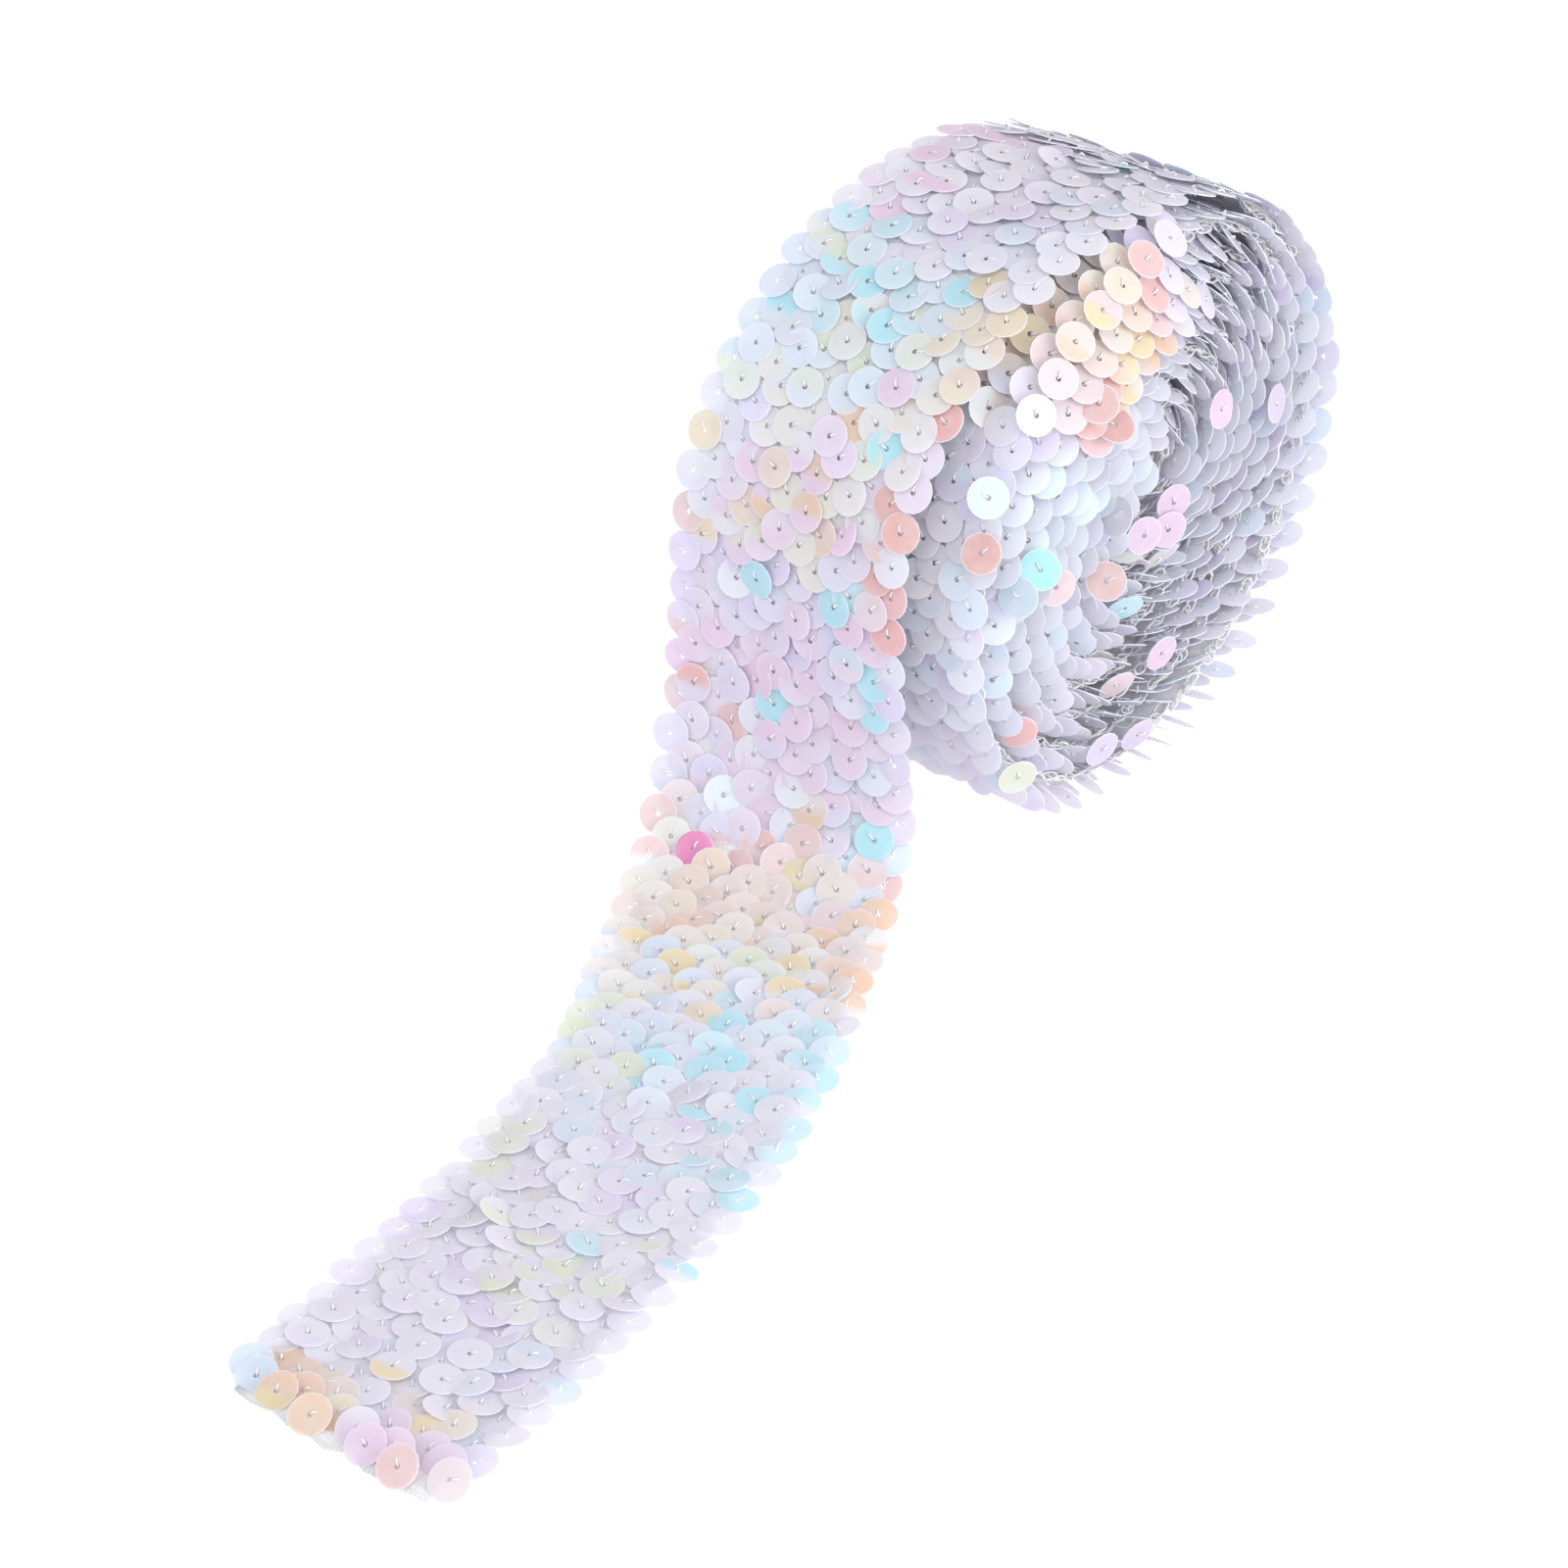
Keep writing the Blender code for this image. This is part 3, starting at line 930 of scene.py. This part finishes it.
def edgeChain(name, sideways, dice):
    distances = np.arange(sequin["firstPlace"], woundLength, backLoop["spacing"])
    sides = [sideways + dice.uniform(-backLoop["wander"], backLoop["wander"]) for _ in distances]
    heights = [backLoop["depth"] + dice.uniform(*backLoop["depthSpread"]) for _ in distances]
    return layBackLoops(name, distances, sides, heights, dice)


stitchShape = stitchPattern()
backLoopShape = backLoopPattern()
stitchDice = random.Random(3)
stitchPlaces = np.concatenate((outerPlaces, nearPlaces))
holeStitches = layStitches("hole_stitches", stitchPlaces, outerTurns + nearTurns, stitchDice)
nearChain = edgeChain("near_edge_chain", backLoop["fromMiddle"], stitchDice)
farChain = edgeChain("far_edge_chain", -backLoop["fromMiddle"], stitchDice)
for spare in (sequinShape, buriedShape, stitchShape, backLoopShape):
    bpy.data.objects.remove(spare)


# Ground cloth

cloth = {
    "columns": 10,
    "rowStep": 0.0016,
    "cutRun": 0.006,
    "fray": (-0.0006, 0.0012),
}


def clothStrip():
    bm = bmesh.new()
    rows = round(trimLength / cloth["rowStep"])
    made = bmesh.ops.create_grid(bm, x_segments=cloth["columns"], y_segments=rows, size=0.5)
    flat = {}
    for vert in made["verts"]:
        flat[vert] = (vert.co.x * strip["groundWidth"], (vert.co.y + 0.5) * trimLength)
    clothMap = bm.loops.layers.uv.new("clothMap")
    for face in bm.faces:
        face.smooth = True
        for loop in face.loops:
            loop[clothMap].uv = flat[loop.vert]
    sideways, distances = zip(*flat.values())
    fray = random.Random(17)
    ragged = []
    for side, distance in zip(sideways, distances):  # the end is cut a little askew and frays
        share = max(0.0, 1 - (trimLength - distance) / cloth["cutRun"])
        skew = sequin["cutSkew"] * side / sequin["chains"][-1]
        ragged.append(distance + share * (skew + fray.uniform(*cloth["fray"])))
    places = placesOn(ragged, sideways, np.zeros(len(flat)))[0]
    for vert, place in zip(flat, places):
        vert.co = place
    obj = meshObject("ground_cloth", bm, knitCloth)
    thick = obj.modifiers.new("thickness", "SOLIDIFY")
    thick.thickness = strip["groundThickness"]
    thick.offset = -1.0
    return obj


groundStrip = clothStrip()
print("cloth laid")

# What carries each piece

sequinPieces = (outerSequins, nearSequins, farSequins, buriedSequins)
threadPieces = (holeStitches, nearChain, farChain)
for piece in (*sequinPieces, *threadPieces, groundStrip):
    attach(piece, "root")
    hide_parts("sequin_trim")


# Floor, light and camera

studio = {
    "cameraFromFoot": (0.41126, -0.57780, 0.42127),
    "azimuth": 38.526,
    "elevation": 31.25,
    "focalPixels": 5551.5,
    "imagePixels": 1600,
    "sensor": 36.0,
    "floorSize": 3.0,
    "floorColour": (0.15, 0.15, 0.15, 1),
    "floorGlow": 0.93,  # it glows a little, so that shadows stay faint
    "worldColour": (1, 1, 1, 1),
    "worldStrength": 0.72,
    "lamps": (  # name, place, what it looks at, size and power
        ("frontSoftbox", (1.00, -1.35, 1.90), (0, 0.02, 0.03), 2.0, 22.0),
        ("leftSoftbox", (-0.9, -0.7, 0.6), (0, 0, 0.03), 0.5, 1.5),
        ("rightSoftbox", (1.3, 0.0, 0.30), (0, 0.07, 0.04), 1.2, 16.0),
    ),
}


def floorPiece():
    bm = bmesh.new()
    bmesh.ops.create_grid(bm, x_segments=1, y_segments=1, size=studio["floorSize"])
    material, _, _ = newMaterial("paleFloor", {
        "Base Color": studio["floorColour"],
        "Roughness": 0.9,
        "Specular IOR Level": 0.1,
        "Emission Color": (1, 1, 1, 1),
        "Emission Strength": studio["floorGlow"],
    })
    meshObject("floor", bm, material)


def softLight(name, place, target, size, power):
    data = bpy.data.lights.new(name, "AREA")
    data.shape = "SQUARE"
    data.size = size
    data.energy = power
    lamp = bpy.data.objects.new(name, data)
    lamp.location = place
    lamp.rotation_euler = (Vector(target) - Vector(place)).to_track_quat("-Z", "Y").to_euler()
    bpy.context.scene.collection.objects.link(lamp)


def studioCamera():
    data = bpy.data.cameras.new("camera")
    data.sensor_width = studio["sensor"]
    data.lens = studio["focalPixels"] / studio["imagePixels"] * studio["sensor"]
    data.clip_start = 0.01
    data.clip_end = 20
    camera = bpy.data.objects.new("camera", data)
    azimuth = math.radians(studio["azimuth"])
    elevation = math.radians(studio["elevation"])
    level = math.cos(elevation)
    looking = Vector((-math.sin(azimuth) * level, math.cos(azimuth) * level, -math.sin(elevation)))
    camera.location = rollFoot + Vector(studio["cameraFromFoot"])
    camera.rotation_euler = looking.to_track_quat("-Z", "Y").to_euler()
    bpy.context.scene.collection.objects.link(camera)
    bpy.context.scene.camera = camera


def studioWorld():
    world = bpy.data.worlds.new("studio")
    world.use_nodes = True
    background = world.node_tree.nodes["Background"]
    background.inputs["Color"].default_value = studio["worldColour"]
    background.inputs["Strength"].default_value = studio["worldStrength"]
    bpy.context.scene.world = world
    bpy.context.scene.view_settings.view_transform = "Standard"


floorPiece()
studioCamera()
for lamp in studio["lamps"]:
    softLight(*lamp)
studioWorld()
print("floor, lamps and camera set")
